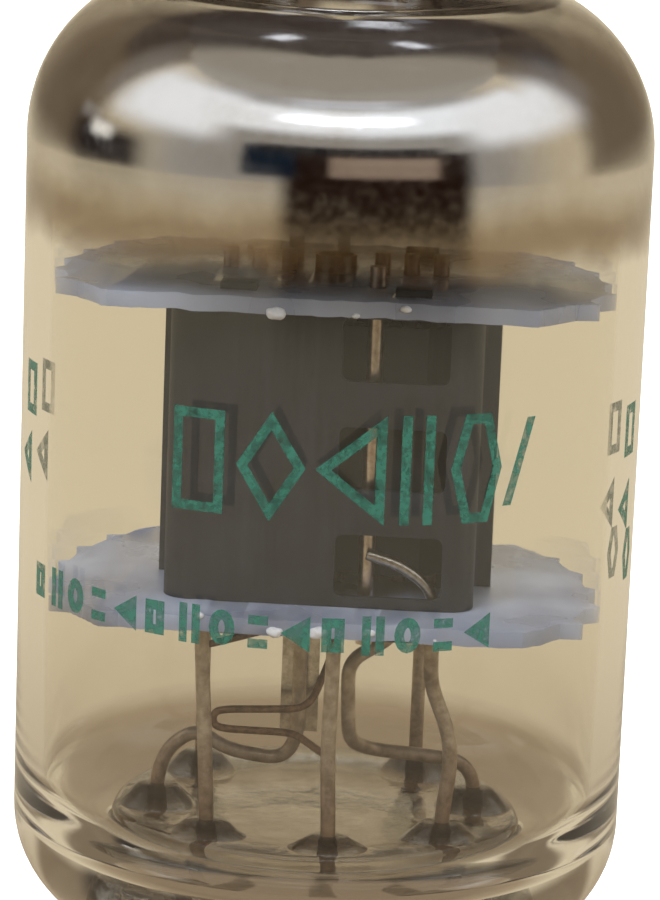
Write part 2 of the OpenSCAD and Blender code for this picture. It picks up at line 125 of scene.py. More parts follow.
def heightSpan(tree, low, high):
    # 0 at the low height and 1 at the high one, both in millimetres
    place = addNode(tree, "ShaderNodeTexCoord")
    z = addNode(tree, "ShaderNodeSeparateXYZ", None, {0: place.outputs["Object"]}).outputs["Z"]
    return addNode(tree, "ShaderNodeMapRange", {1: low * mm, 2: high * mm, 3: 0.0, 4: 1.0}, {0: z}).outputs[0]


def math2(tree, operation, a, b):
    settings, links = {"operation": operation}, {}
    for slot, value in enumerate((a, b)):
        (settings if isinstance(value, (int, float)) else links)[slot] = value
    return addNode(tree, "ShaderNodeMath", settings, links).outputs[0]


def output(tree, shader):
    addNode(tree, "ShaderNodeOutputMaterial", None, {"Surface": shader})


def seeThrough(tree, shader):
    # light reaches what is inside the glass, so shadow rays pass
    rays = addNode(tree, "ShaderNodeLightPath")
    clear = addNode(tree, "ShaderNodeBsdfTransparent")
    mix = addNode(tree, "ShaderNodeMixShader", None,
                  {0: rays.outputs["Is Shadow Ray"], 1: shader, 2: clear.outputs[0]})
    output(tree, mix.outputs[0])


print("materials")


def bulbGlassMaterial():
    # soda-lime bulb glass, blown and fire-polished: clear and glossy, with faint waves and handling haze
    look = {"tint": "#F7F5EE", "ior": 1.51, "rough": 0.01, "wave": 0.015}
    material, tree = newMaterial("blown_soda_lime_glass")
    haze = ramp(tree, grain(tree, mmPlace(tree), 0.35, 4), [(0.45, 0.0), (0.75, 0.05)])
    wave = bump(tree, grain(tree, mmPlace(tree, (1, 1, 0.3)), 0.22, 2), look["wave"], 0.4)
    rough = math2(tree, "ADD", addNode(tree, "ShaderNodeRGBToBW", None, {0: haze}).outputs[0], look["rough"])
    shader = addNode(tree, "ShaderNodeBsdfPrincipled",
                     {"Base Color": linearColour(look["tint"]), "IOR": look["ior"],
                      "Transmission Weight": 1.0},
                     {"Roughness": rough, "Normal": wave})
    seeThrough(tree, shader.outputs[0])
    return material


def stemGlassMaterial():
    # pressed lead-glass button: greyer and greener than the bulb, with cloudy tone and mould chill marks
    look = {"ior": 1.52, "rough": 0.07, "beadLow": 3.25, "beadHigh": 3.6}
    material, tree = newMaterial("pressed_button_glass")
    cloud = grain(tree, mmPlace(tree), 0.9, 5, 0.6)
    body = ramp(tree, cloud, [(0.35, "#D2CDC6"), (0.65, "#A39C94")])
    rise = heightSpan(tree, look["beadLow"], look["beadHigh"])
    bead = ramp(tree, rise, [(0.0, "#FFFFFF"), (1.0, "#5A5250")])
    colour = addNode(tree, "ShaderNodeMix", {"data_type": "RGBA", "blend_type": "MULTIPLY", 0: 1.0},
                     {6: body, 7: bead}).outputs[2]
    chill = bump(tree, grain(tree, mmPlace(tree), 1.6, 3), 0.35, 0.12)
    shader = addNode(tree, "ShaderNodeBsdfPrincipled",
                     {"IOR": look["ior"], "Roughness": look["rough"], "Transmission Weight": 1.0},
                     {"Base Color": colour, "Normal": chill})
    seeThrough(tree, shader.outputs[0])
    return material


def getterFilmMaterial():
    # barium flashed onto the inside of the dome: a mirror where it is thick, brown where it thins out
    look = {"fadeLow": 20.3, "fadeHigh": 22.6}
    material, tree = newMaterial("flashed_barium_mirror")
    cloud = grain(tree, mmPlace(tree), 0.45, 4)
    height = heightSpan(tree, look["fadeLow"], look["fadeHigh"])
    wobble = math2(tree, "MULTIPLY", math2(tree, "SUBTRACT", cloud, 0.5), 0.55)
    thick = math2(tree, "ADD", height, wobble)
    colour = ramp(tree, thick, [(0.0, "#7A5B3C"), (0.35, "#9A8263"), (0.75, "#C4BBAF"), (1.0, "#DAD8D6")])
    cover = addNode(tree, "ShaderNodeMapRange", {1: 0.0, 2: 0.7, 3: 0.0, 4: 1.0}, {0: thick}).outputs[0]
    speck = ramp(tree, grain(tree, mmPlace(tree), 3.5, 5), [(0.4, 0.06), (0.7, 0.11)])
    rough = addNode(tree, "ShaderNodeRGBToBW", None, {0: speck}).outputs[0]
    shader = addNode(tree, "ShaderNodeBsdfPrincipled", {"Metallic": 1.0},
                     {"Base Color": colour, "Alpha": cover, "Roughness": rough})
    output(tree, shader.outputs[0])
    return material


def micaMaterial():
    # punched muscovite with a sprayed magnesia coat: pearly, with cleavage patches; its broken front edge
    # looks brighter from painted highlights, the white balls laid along it
    look = {"ior": 1.58}
    material, tree = newMaterial("sprayed_muscovite_mica")
    patch = grain(tree, mmPlace(tree, (1, 1, 0.2)), 0.35, 2, 0.45)
    colour = ramp(tree, patch, [(0.3, "#8D92A4"), (0.5, "#ADB5CA"), (0.72, "#D2DAEC")])
    fleck = grain(tree, mmPlace(tree), 7.0, 4, 0.6)
    rough = ramp(tree, patch, [(0.3, 0.18), (0.7, 0.4)])
    shader = addNode(tree, "ShaderNodeBsdfPrincipled",
                     {"IOR": look["ior"], "Transmission Weight": 0.3},
                     {"Base Color": colour, "Normal": bump(tree, fleck, 0.25, 0.03),
                      "Roughness": addNode(tree, "ShaderNodeRGBToBW", None, {0: rough}).outputs[0]})
    output(tree, shader.outputs[0])
    return material


def sheetMaterial(name, dark, light, metallic, roughLow, roughHigh, streak):
    material, tree = newMaterial(name)
    drawn = grain(tree, mmPlace(tree, (1, 1, 0.08)), streak, 4, 0.6)
    soot = grain(tree, mmPlace(tree), 0.6, 5, 0.6)
    mixed = math2(tree, "ADD", math2(tree, "MULTIPLY", drawn, 0.5), math2(tree, "MULTIPLY", soot, 0.5))
    colour = ramp(tree, mixed, [(0.35, dark), (0.65, light)])
    rough = ramp(tree, soot, [(0.3, roughLow), (0.7, roughHigh)])
    shader = addNode(tree, "ShaderNodeBsdfPrincipled", {"Metallic": metallic},
                     {"Base Color": colour, "Normal": bump(tree, drawn, 0.2, 0.02),
                      "Roughness": addNode(tree, "ShaderNodeRGBToBW", None, {0: rough}).outputs[0]})
    output(tree, shader.outputs[0])
    return material


def wireMaterial(name, dark, light, metallic, rough, scale, low=None):
    # drawn wire with a fine mottle; low is the height below which heat from the glass browned it
    material, tree = newMaterial(name)
    mottle = grain(tree, mmPlace(tree), scale, 4, 0.6)
    colour = ramp(tree, mottle, [(0.35, dark), (0.65, light)])
    if low:
        tone = ramp(tree, heightSpan(tree, low[0], low[1]), [(0.0, low[2]), (1.0, "#FFFFFF")])
        colour = addNode(tree, "ShaderNodeMix", {"data_type": "RGBA", "blend_type": "MULTIPLY", 0: 1.0},
                         {6: colour, 7: tone}).outputs[2]
    shader = addNode(tree, "ShaderNodeBsdfPrincipled", {"Metallic": metallic, "Roughness": rough},
                     {"Base Color": colour, "Normal": bump(tree, mottle, 0.25, 0.02)})
    output(tree, shader.outputs[0])
    return material


def powderMaterial(name, dark, light):
    # sprayed powder coat: matt, with a sugar-like grain of about 0.05 mm
    material, tree = newMaterial(name)
    sugar = grain(tree, mmPlace(tree), 14.0, 4, 0.6)
    colour = ramp(tree, sugar, [(0.3, dark), (0.7, light)])
    shader = addNode(tree, "ShaderNodeBsdfPrincipled", {"Roughness": 0.9},
                     {"Base Color": colour, "Normal": bump(tree, sugar, 0.5, 0.03)})
    output(tree, shader.outputs[0])
    return material


def inkMaterial():
    # stamped enamel ink, baked on: slightly sunk in gloss, thin and broken where the stamp didn't press
    material, tree = newMaterial("stamped_green_enamel_ink")
    wear = grain(tree, mmPlace(tree), 3.0, 5, 0.7)
    colour = ramp(tree, wear, [(0.35, "#1E4F3C"), (0.65, "#2B6850")])
    cover = ramp(tree, wear, [(0.3, 0.15), (0.55, 0.8)])
    shader = addNode(tree, "ShaderNodeBsdfPrincipled", {"Roughness": 0.45},
                     {"Base Color": colour,
                      "Alpha": addNode(tree, "ShaderNodeRGBToBW", None, {0: cover}).outputs[0]})
    output(tree, shader.outputs[0])
    return material


bulbGlass = bulbGlassMaterial()
stemGlass = stemGlassMaterial()
getterFilm = getterFilmMaterial()
mica = micaMaterial()
# carbonised nickel-plated steel sheet: soot-dark, satin, with faint rolling lines
shieldSheet = sheetMaterial("carbonised_shield_sheet", "#202227", "#373A40", 0.35, 0.5, 0.65, 3.0)
anodeSheet = sheetMaterial("carbonised_anode_sheet", "#1E1E1F", "#323234", 0.35, 0.5, 0.7, 3.0)
getterSteel = sheetMaterial("fired_getter_channel", "#5A5753", "#8A8680", 0.9, 0.35, 0.55, 4.0)
nickelStrip = wireMaterial("bright_nickel", "#A79E92", "#D2CBC0", 1.0, 0.3, 5.0)
copperRod = wireMaterial("copper_clad_rod", "#BBA594", "#DED0C4", 1.0, 0.28, 4.0)
gridWire = wireMaterial("fine_grid_wire", "#8E8A82", "#B7B2A8", 1.0, 0.35, 6.0)
leadWire = wireMaterial("browned_nickel_lead", "#94836D", "#BFAE98", 0.7, 0.42, 2.5, (3.4, 6.5, "#B5A090"))
tailWire = wireMaterial("browned_heater_tail", "#5A4230", "#8A6A4C", 0.5, 0.5, 5.0)
pinPlate = wireMaterial("tinned_pin", "#A5A39D", "#CFCDC6", 1.0, 0.24, 2.0)
oxideCoat = powderMaterial("sprayed_cathode_oxide", "#DCD9CE", "#F2F0E8")
aluminaCoat = powderMaterial("sprayed_alumina", "#D2CFC6", "#ECEAE4")
# white powder for the balls along the mica edges, which are painted highlights
magnesia = powderMaterial("white_highlight_powder", "#E4E5EA", "#F6F7FA")
greenInk = inkMaterial()

print("tools for the pieces")


def deselectAll():
    if bpy.context.mode != "OBJECT":
        bpy.ops.object.mode_set(mode="OBJECT")
    bpy.ops.object.select_all(action="DESELECT")


def startEdit(piece, mode="VERT"):
    deselectAll()
    piece.select_set(True)
    bpy.context.view_layer.objects.active = piece
    bpy.ops.object.mode_set(mode="EDIT")
    bpy.ops.mesh.select_mode(type=mode)


def pick(piece, kind, test):
    # selects the vertices, edges or faces that pass the test, by their place
    mesh = bmesh.from_edit_mesh(piece.data)
    bpy.ops.mesh.select_all(action="DESELECT")
    parts = {"verts": mesh.verts, "edges": mesh.edges, "faces": mesh.faces}[kind]
    for part in parts:
        part.select_set(bool(test(part)))
    mesh.select_flush_mode()
    bmesh.update_edit_mesh(piece.data)


def middle(edge):
    return (edge.verts[0].co + edge.verts[1].co) / 2


def applyModifier(piece, kind, **settings):
    deselectAll()
    piece.select_set(True)
    bpy.context.view_layer.objects.active = piece
    modifier = piece.modifiers.new(kind.title(), kind)
    for name, value in settings.items():
        setattr(modifier, name, value)
    bpy.ops.object.modifier_apply(modifier=modifier.name)


def finishPiece(piece, material, nodes=(), smooth=35, fromMm=True):
    deselectAll()
    piece.select_set(True)
    bpy.context.view_layer.objects.active = piece
    bpy.ops.object.transform_apply(location=True, rotation=True, scale=True)
    if fromMm:
        piece.scale = (mm, mm, mm)
        bpy.ops.object.transform_apply(location=True, rotation=True, scale=True)
    bpy.ops.object.shade_smooth_by_angle(angle=math.radians(smooth))
    piece.data.materials.clear()
    piece.data.materials.append(material)
    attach(piece, "root")
    if nodes:
        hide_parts(*nodes)
    return piece


def arc(centreX, centreZ, radius, fromAngle, toAngle, steps):
    angles = [math.radians(fromAngle + (toAngle - fromAngle) * i / steps) for i in range(steps + 1)]
    return [(centreX + radius * math.cos(a), centreZ + radius * math.sin(a)) for a in angles]


def turnedPiece(name, outline, steps, closed=False):
    # draws half the outline by extruding a vertex along it, then spins it round the tube's axis
    deselectAll()
    bpy.ops.mesh.primitive_plane_add(size=1, location=(0, 0, 0))
    piece = bpy.context.active_object
    piece.name = piece.data.name = name
    startEdit(piece)
    bpy.ops.mesh.select_all(action="SELECT")
    bpy.ops.mesh.merge(type="CENTER")
    here = Vector((0, 0, 0))
    first = Vector((outline[0][0], 0, outline[0][1]))
    bpy.ops.transform.translate(value=first - here)
    here = first
    for x, z in list(outline[1:]) + ([outline[0]] if closed else []):
        there = Vector((x, 0, z))
        bpy.ops.mesh.extrude_region_move(TRANSFORM_OT_translate={"value": there - here})
        here = there
    bpy.ops.mesh.select_all(action="SELECT")
    bpy.ops.mesh.spin(steps=steps, angle=2 * math.pi, center=(0, 0, 0), axis=(0, 0, 1))
    bpy.ops.mesh.select_all(action="SELECT")
    bpy.ops.mesh.remove_doubles(threshold=0.002)
    bpy.ops.mesh.dissolve_degenerate(threshold=0.0005)
    bpy.ops.mesh.select_all(action="SELECT")
    bpy.ops.mesh.normals_make_consistent(inside=False)
    bpy.ops.object.mode_set(mode="OBJECT")
    return piece


def joinPieces(target, others):
    deselectAll()
    for piece in others:
        piece.select_set(True)
    target.select_set(True)
    bpy.context.view_layer.objects.active = target
    bpy.ops.object.join()
    return target


def ownCopy(piece, name):
    twin = piece.copy()
    twin.data = piece.data.copy()
    twin.name = twin.data.name = name
    bpy.context.collection.objects.link(twin)
    return twin


print("bulb")
bulb = {
    "skin": 0.008,       # the print lies in this last bit of the radius
    "wall": 0.8, "crown": 28.0, "crownWall": 1.3, "creaseRadius": 5.2,
    "shoulderOut": 4.8, "footOut": 3.3, "footIn": 2.6, "stemFloor": 2.4,
    "sealGap": 0.012, "steps": 128, "shoulderX": 4.0, "shoulderZ": 22.9, "shoulderSteps": 22, "square": 0.96,
}


def innerShoulder(inset):
    # inside of the dome from the straight side up to the crease, then the flatter crown
    bore = bulbRadius - bulb["wall"] - inset
    crownZ = bulb["crown"] - bulb["crownWall"] - inset
    crease = bulb["creaseRadius"]
    # one quarter of a slightly squared oval, centred at shoulderX and shoulderZ
    middleX, middleZ, steps = bulb["shoulderX"], bulb["shoulderZ"], bulb["shoulderSteps"]
    wide, tall = bore - middleX, crownZ - middleZ + 0.28
    points = []
    for i in range(steps + 1):
        a = math.radians(90 * i / steps)
        x = middleX + wide * math.cos(a) ** bulb["square"]
        z = middleZ + tall * math.sin(a) ** bulb["square"]
        if x > crease + 0.05:
            points.append((x, z))
    points.append((crease - 0.05, crownZ + 0.03))
    points.append((crease - 0.5, crownZ))
    return points, crownZ


def buildBulb():
    r, shoulder, foot = bulbRadius - bulb["skin"], bulb["shoulderOut"], bulb["footOut"]
    sealR = stemRadius + bulb["sealGap"]
    top = bulb["crown"]
    footX = r - foot
    lean = math.degrees(math.asin((sealR - footX) / foot))
    outline = arc(footX, foot, foot, -90 + lean, 0, 16)
    outline += [(r, 9.0), (r, 14.0), (r, 19.0)]
    shoulderLine = arc(r - shoulder, top - shoulder, shoulder, 0, 90, 26)
    outline += [p for p in shoulderLine if p[0] > bulb["creaseRadius"] + 0.1]
    # the nearly flat crown, then the drawn-out tip
    outline += [(5.15, top - 0.13), (4.2, top - 0.05), (3.2, top - 0.02), (2.55, top + 0.03),
                (2.15, top + 0.16), (1.86, top + 0.45), (1.68, top + 0.95), (1.52, top + 1.7),
                (1.38, top + 2.5), (1.24, top + 3.3),
                (1.1, top + 4.0), (0.95, top + 4.55), (0.74, top + 5.0), (0.5, top + 5.3), (0.24, top + 5.46),
                (0, bulbTop)]
    inner, crownZ = innerShoulder(0)
    inside = [(0, crownZ + 1.15), (0.28, crownZ + 1.0), (0.55, crownZ + 0.6), (0.85, crownZ + 0.22),
              (1.3, crownZ + 0.05), (2.0, crownZ), (3.4, crownZ)]
    inside += list(reversed(inner))
    bore = bulbRadius - bulb["wall"]
    inside += [(bore, 19.0), (bore, 14.0), (bore, 9.0)]
    footIn, floor = bulb["footIn"], bulb["stemFloor"]
    swing = math.degrees(math.acos((sealR - bore + footIn) / footIn))
    inside += arc(bore - footIn, floor + footIn, footIn, 0, -swing, 12)
    piece = turnedPiece("bulb", outline + inside, bulb["steps"], closed=True)
    return finishPiece(piece, bulbGlass, ["envelope"], smooth=50)


buildBulb()


def buildFilm():
    # the film grips the glass: its outer face lies a hair inside the wall, so no air shows between
    thin = {"off": -0.006, "thick": 0.05}
    outer, crownOut = innerShoulder(thin["off"])
    inner, crownIn = innerShoulder(thin["off"] + thin["thick"])
    outerR, innerR = outer[0][0], inner[0][0]
    low = filmLow.z
    outline = [(outerR, low), (outerR, (low + outer[0][1]) / 2)] + outer + [(3.4, crownOut), (2.0, crownOut)]
    outline += [(1.3, crownOut + 0.03), (1.25, crownIn + 0.02)]
    outline += [(2.0, crownIn), (3.4, crownIn)] + list(reversed(inner))
    outline += [(innerR, (low + outer[0][1]) / 2), (innerR, low)]
    piece = turnedPiece("getter_mirror_film", outline, bulb["steps"], closed=True)
    return finishPiece(piece, getterFilm, ["getter_film"], smooth=40)


buildFilm()

print("stem and pins")
stem = {"rim": 2.4, "plateau": 3.3, "plateauInset": 0.25, "beadFoot": 1.3, "beadTop": 0.5, "beadHigh": 0.6,
        "pinCircle": 4.7625, "pins": 7, "pinStep": 45, "frontPin": 4, "pinTurn": 8}


def pinAngle(number):
    return math.radians(stem["pinTurn"] - 90 + stem["pinStep"] * (number - stem["frontPin"]))


def pinSpot(number):
    a = pinAngle(number)
    return Vector((stem["pinCircle"] * math.cos(a), stem["pinCircle"] * math.sin(a), 0))


def buildStem():
    r, rim, top = stemRadius, stem["rim"], stem["plateau"]
    edge = r - stem["plateauInset"]
    outline = [(0, 0), (2.0, 0), (4.4, 0), (r - 0.12, 0), (r - 0.04, 0.03), (r, 0.12),
               (r, rim - 0.1), (r - 0.03, rim - 0.02),
               (r - 0.1, rim), (edge + 0.1, rim + 0.03), (edge, rim + 0.16), (edge - 0.04, top - 0.3),
               (edge - 0.12, top - 0.1), (edge - 0.3, top), (4.4, top - 0.02), (3.2, top - 0.12),
               (1.6, top - 0.25), (0, top - 0.3)]
    piece = turnedPiece("button_stem", outline, 96)
    beadLine = [(0, top - 0.9), (stem["beadFoot"] - 0.1, top - 0.9), (stem["beadFoot"] - 0.1, top - 0.15)]
    beadLine += [(1.12, top + 0.04), (0.94, top + 0.2), (0.78, top + 0.36), (0.62, top + 0.5),
                 (0.42, top + 0.58), (0, top + stem["beadHigh"])]
    bead = turnedPiece("bead", beadLine, 32)
    for number in range(1, stem["pins"] + 1):
        one = ownCopy(bead, "bead_" + str(number))
        one.location = pinSpot(number)
        deselectAll()
        one.select_set(True)
        bpy.context.view_layer.objects.active = one
        bpy.ops.object.transform_apply(location=True, rotation=True, scale=True)
        applyModifier(piece, "BOOLEAN", operation="UNION", object=one, solver="EXACT")
        bpy.data.objects.remove(one)
    bpy.data.objects.remove(bead)
    return finishPiece(piece, stemGlass, ["stem"], smooth=45)


buildStem()


def buildPins():
    shape = {"sealR": 0.34, "sealTop": 1.2, "tipFlat": 0.12}
    r, low = (pinHigh.x - pinLow.x) / 2, pinLow.z
    seal, sealTop = shape["sealR"], shape["sealTop"]
    outline = [(0, low), (shape["tipFlat"], low + 0.01), (0.27, low + 0.08), (0.4, low + 0.22),
               (0.475, low + 0.42), (r - 0.008, low + 0.66), (r, low + 0.9), (r, -2.5), (r, -0.25),
               (r - 0.01, -0.08), (r - 0.05, -0.01), (r - 0.09, 0.0),
               (seal, 0.02), (seal, 0.6), (seal, sealTop), (0, sealTop)]
    first = turnedPiece("pin", outline, 40)
    for number in range(1, stem["pins"] + 1):
        one = ownCopy(first, "socket_pin_" + str(number))
        one.matrix_world = Matrix.Translation(pinSpot(number) * mm)
        one.scale = (mm, mm, mm)
        finishPiece(one, pinPlate, ["pin_" + str(number)], smooth=40, fromMm=False)
    bpy.data.objects.remove(first)


buildPins()

print("micas")
spacer = {"gap": 0.4, "toothReach": 0.35, "teeth": 5, "toothStep": 14, "bevel": 0.05, "ripple": 0.05}


def holeCutter(spots, low, high):
    # one cutter made of a round bar for every hole: (x, y, radius) in millimetres
    bars = []
    for x, y, radius in spots:
        deselectAll()
        bpy.ops.mesh.primitive_cylinder_add(vertices=24, radius=radius, depth=high - low + 1,
                                            location=(x, y, (low + high) / 2))
        bars.append(bpy.context.active_object)
    return joinPieces(bars[0], bars[1:])


def buildMica(name, corners, holes, slots, seed):
    low, high = corners[0].z, corners[1].z
    depth = corners[1].y
    radius = bulbRadius - bulb["wall"] - spacer["gap"]
    deselectAll()
    bpy.ops.mesh.primitive_circle_add(vertices=360, radius=radius, fill_type="NGON", location=(0, 0, high))
    piece = bpy.context.active_object
    piece.name = piece.data.name = name
    bpy.ops.object.transform_apply(location=True, rotation=True, scale=True)
    startEdit(piece)
    for side in (-1, 1):
        bpy.ops.mesh.select_all(action="SELECT")
        bpy.ops.mesh.bisect(plane_co=(0, side * depth, 0), plane_no=(0, side, 0), clear_outer=True)
    bpy.ops.mesh.select_mode(type="EDGE")
    pick(piece, "edges", lambda e: abs(abs(middle(e).y) - depth) < 0.01)
    bpy.ops.mesh.subdivide(number_cuts=56)
    # the teeth that hold the spacer in the bulb: three-degree stretches of rim pulled out and narrowed
    for turn in (0, 180):
        for place in range(spacer["teeth"]):
            angle = math.radians(turn + spacer["toothStep"] * (place - (spacer["teeth"] - 1) / 2))
            way = Vector((math.cos(angle), math.sin(angle), 0))
            reach = math.cos(math.radians(2.6))
            pick(piece, "edges", lambda e: (middle(e).xy.normalized().dot(way.xy) > reach
                                            and middle(e).xy.length > radius - 0.05))
            bpy.ops.mesh.extrude_region_move(TRANSFORM_OT_translate={"value": way * spacer["toothReach"]})
            tip = way * (radius + spacer["toothReach"]) + Vector((0, 0, high))
            bpy.ops.transform.resize(value=(0.15, 0.15, 1), center_override=tip)
    bpy.ops.mesh.select_all(action="SELECT")
    bpy.ops.mesh.extrude_region_move(TRANSFORM_OT_translate={"value": (0, 0, low - high)})
    bpy.ops.mesh.select_all(action="SELECT")
    bpy.ops.mesh.normals_make_consistent(inside=False)
    bpy.ops.object.mode_set(mode="OBJECT")
    cutter = holeCutter(holes, low, high)
    for x, y, wide, tall in slots:
        deselectAll()
        bpy.ops.mesh.primitive_cube_add(size=1, location=(x, y, (low + high) / 2),
                                        scale=(wide, tall, high - low + 1))
        joinPieces(cutter, [bpy.context.active_object])
    applyModifier(piece, "BOOLEAN", operation="DIFFERENCE", object=cutter, solver="EXACT", use_self=True)
    bpy.data.objects.remove(cutter)
    # the split edge is never straight: it ripples and lifts a little
    for vertex in piece.data.vertices:
        flat = vertex.co.xy.length
        atEdge = abs(vertex.co.y) > depth - 0.2 or flat > radius - 0.3
        nearEdge = max(0.0, (flat - 4.6) / 3.4) if atEdge else 0
        if nearEdge:
            wave = noise.noise_vector(Vector((vertex.co.x * 1.3 + seed, vertex.co.y * 1.3, 0.4)))
            fine = noise.noise_vector(Vector((vertex.co.x * 5 + seed, vertex.co.y * 5, 2.0)))
            vertex.co.z += spacer["ripple"] * (wave.z + 0.5 * fine.z)
            vertex.co.y += 0.6 * spacer["ripple"] * fine.y
    applyModifier(piece, "BEVEL", width=spacer["bevel"], segments=2, limit_method="ANGLE",
                  angle_limit=math.radians(50))
    return piece


def micaHoles():
    rods = [1.35, 2.2, 3.05]
    holes = [(0, 0, 0.62)] + [(side * x, 0, 0.245) for x in rods for side in (-1, 1)]
    holes += [(1.35, -2.625, 0.245), (-1.35, 2.625, 0.245)]
    slots = [(side * 2.4, turn * 3.4, 1.04, 0.24) for side in (-1, 1) for turn in (-1, 1)]
    return holes, slots


def highlightBalls(spots):
    # white squashed balls that stand in for glints along the mica edges, painted highlights, each as (x, y,
    # z, size)
    made = []
    for x, y, z, size in spots:
        deselectAll()
        bpy.ops.mesh.primitive_ico_sphere_add(subdivisions=3, radius=size, location=(x, y, z))
        crumb = bpy.context.active_object
        crumb.scale = (1.15, 0.8, 0.75)
        bpy.ops.object.transform_apply(location=False, rotation=False, scale=True)
        for vertex in crumb.data.vertices:
            vertex.co *= 1 + 0.25 * noise.noise(vertex.co * 6 + Vector((x, y, z)))
        bpy.ops.object.transform_apply(location=True, rotation=False, scale=False)
        made.append(crumb)
    return made


def buildMicas():
    holes, slots = micaHoles()
    top = buildMica("top_mica_spacer", (topMicaLow, topMicaHigh), holes + [(0, 3.7, 0.22)], slots, 3.0)
    finishPiece(top, mica, ["top_mica"], smooth=30)
    low = buildMica("bottom_mica_spacer", (bottomMicaLow, bottomMicaHigh), holes + [(3.3, -3.03, 0.2)],
                    slots, 9.0)
    finishPiece(low, mica, ["bottom_mica"], smooth=30)
    upper, lower = topMicaLow.z, bottomMicaLow.z
    # white balls along the front edges of both micas and one on the top mica: painted highlights for the
    # glints there
    highlightCrumbs = highlightBalls([(-1.25, -5.32, upper + 0.02, 0.24), (2.25, -5.3, upper + 0.3, 0.13),
                     (0.9, -5.28, upper + 0.05, 0.1),
                     (-2.4, -3.9, topMicaHigh.z + 0.04, 0.13), (-1.0, -5.3, lower + 0.1, 0.2),
                     (0.2, -5.32, lower + 0.15, 0.24), (1.6, -5.28, lower + 0.2, 0.16),
                     (-3.1, -5.25, bottomMicaHigh.z, 0.14), (3.4, -5.2, lower + 0.1, 0.15)])
    highlightCrumbs = joinPieces(highlightCrumbs[0], highlightCrumbs[1:])
    highlightCrumbs.name = highlightCrumbs.data.name = "painted_highlight_crumbs"
    finishPiece(highlightCrumbs, magnesia, smooth=60)


buildMicas()

print("shield")
shield = {
    "halfWide": 4.3, "face": 3.4, "cornerR": 0.75, "flangeY": 0.1, "flangeX": 4.9, "flangeR": 0.22,
    "thick": 0.2,
    "windowX": (0.48, 3.48), "windowZ": ((10.625, 12.425), (13.725, 15.525), (16.825, 18.625)),
    "lugX": 2.4, "lugWide": 1.0, "lugFold": 0.7, "bottom": 10.3, "top": 18.95, "deck": 19.4, "lugLow": 9.35,
}


def shieldPath():
    # half of the front half's bent line, from its middle to the tip of the right flange
    s = shield
    stops = (0, s["windowX"][0], 1.2, s["lugX"] - 0.5, s["lugX"] + 0.5, s["windowX"][1])
    points = [(x, -s["face"]) for x in stops]
    corner = arc(s["halfWide"] - s["cornerR"], -s["face"] + s["cornerR"], s["cornerR"], -90, 0, 8)
    points += corner
    bend = arc(s["halfWide"] + s["flangeR"], -s["flangeY"] - s["flangeR"], s["flangeR"], 180, 90, 5)
    points += bend + [(s["flangeX"], -s["flangeY"])]
    return points


def buildShieldHalf():
    s = shield
    right = shieldPath()
    path = [(-x, y) for x, y in reversed(right[1:])] + right
    levels = sorted([s["bottom"], s["top"]] + [z for window in s["windowZ"] for z in window])
    deselectAll()
    bpy.ops.mesh.primitive_plane_add(size=1, location=(0, 0, 0))
    piece = bpy.context.active_object
    piece.name = piece.data.name = "shield_half"
    startEdit(piece)
    bpy.ops.mesh.select_all(action="SELECT")
    bpy.ops.mesh.merge(type="CENTER")
    here = Vector((path[0][0], path[0][1], levels[0]))
    bpy.ops.transform.translate(value=here)
    for x, y in path[1:]:
        there = Vector((x, y, levels[0]))
        bpy.ops.mesh.extrude_region_move(TRANSFORM_OT_translate={"value": there - here})
        here = there
    bpy.ops.mesh.select_mode(type="EDGE")
    bpy.ops.mesh.select_all(action="SELECT")
    for below, above in zip(levels, levels[1:]):
        bpy.ops.mesh.extrude_region_move(TRANSFORM_OT_translate={"value": (0, 0, above - below)})
    # windows
    bpy.ops.mesh.select_mode(type="FACE")
    x0, x1 = s["windowX"]

    def inWindow(face):
        c = face.calc_center_median()
        return x0 < c.x < x1 and c.y < -s["face"] + 0.01 and any(a < c.z < b for a, b in s["windowZ"])

    pick(piece, "faces", inWindow)
    bpy.ops.mesh.delete(type="FACE")
    # lugs: straight down through the bottom spacer, and up through the top one and folded forwards
    bpy.ops.mesh.select_mode(type="EDGE")
    half = s["lugWide"] / 2

    def lugEdge(z):
        return lambda e: (abs(middle(e).z - z) < 0.01 and abs(abs(middle(e).x) - s["lugX"]) < half
                          and abs(e.verts[0].co.z - e.verts[1].co.z) < 0.01
                          and middle(e).y < -s["face"] + 0.01)

    pick(piece, "edges", lugEdge(s["bottom"]))
    bpy.ops.mesh.extrude_region_move(TRANSFORM_OT_translate={"value": (0, 0, s["lugLow"] - s["bottom"])})
    pick(piece, "edges", lugEdge(s["top"]))
    rise = s["deck"] - s["top"]
    bpy.ops.mesh.extrude_region_move(TRANSFORM_OT_translate={"value": (0, 0, rise)})
    bpy.ops.mesh.extrude_region_move(TRANSFORM_OT_translate={"value": (0, -0.03, 0.07)})
    bpy.ops.mesh.extrude_region_move(TRANSFORM_OT_translate={"value": (0, -0.07, 0.035)})
    bpy.ops.mesh.extrude_region_move(TRANSFORM_OT_translate={"value": (0, -s["lugFold"], 0.0)})
    # window corners are left round by the punch
    bpy.ops.mesh.select_mode(type="VERT")

    def windowCorner(v):
        return (v.co.y < -s["face"] + 0.01 and min(abs(v.co.x - x0), abs(v.co.x - x1)) < 0.01
                and any(min(abs(v.co.z - a), abs(v.co.z - b)) < 0.01 for a, b in s["windowZ"]))

    pick(piece, "verts", windowCorner)
    bpy.ops.mesh.bevel(offset=0.22, segments=4, affect="VERTICES")
    bpy.ops.object.mode_set(mode="OBJECT")
    applyModifier(piece, "SOLIDIFY", thickness=s["thick"], offset=0, use_even_offset=True)
    applyModifier(piece, "BEVEL", width=0.035, segments=2, limit_method="ANGLE", angle_limit=math.radians(60))
    startEdit(piece)
    bpy.ops.mesh.select_all(action="SELECT")
    bpy.ops.mesh.normals_make_consistent(inside=False)
    bpy.ops.object.mode_set(mode="OBJECT")
    return piece


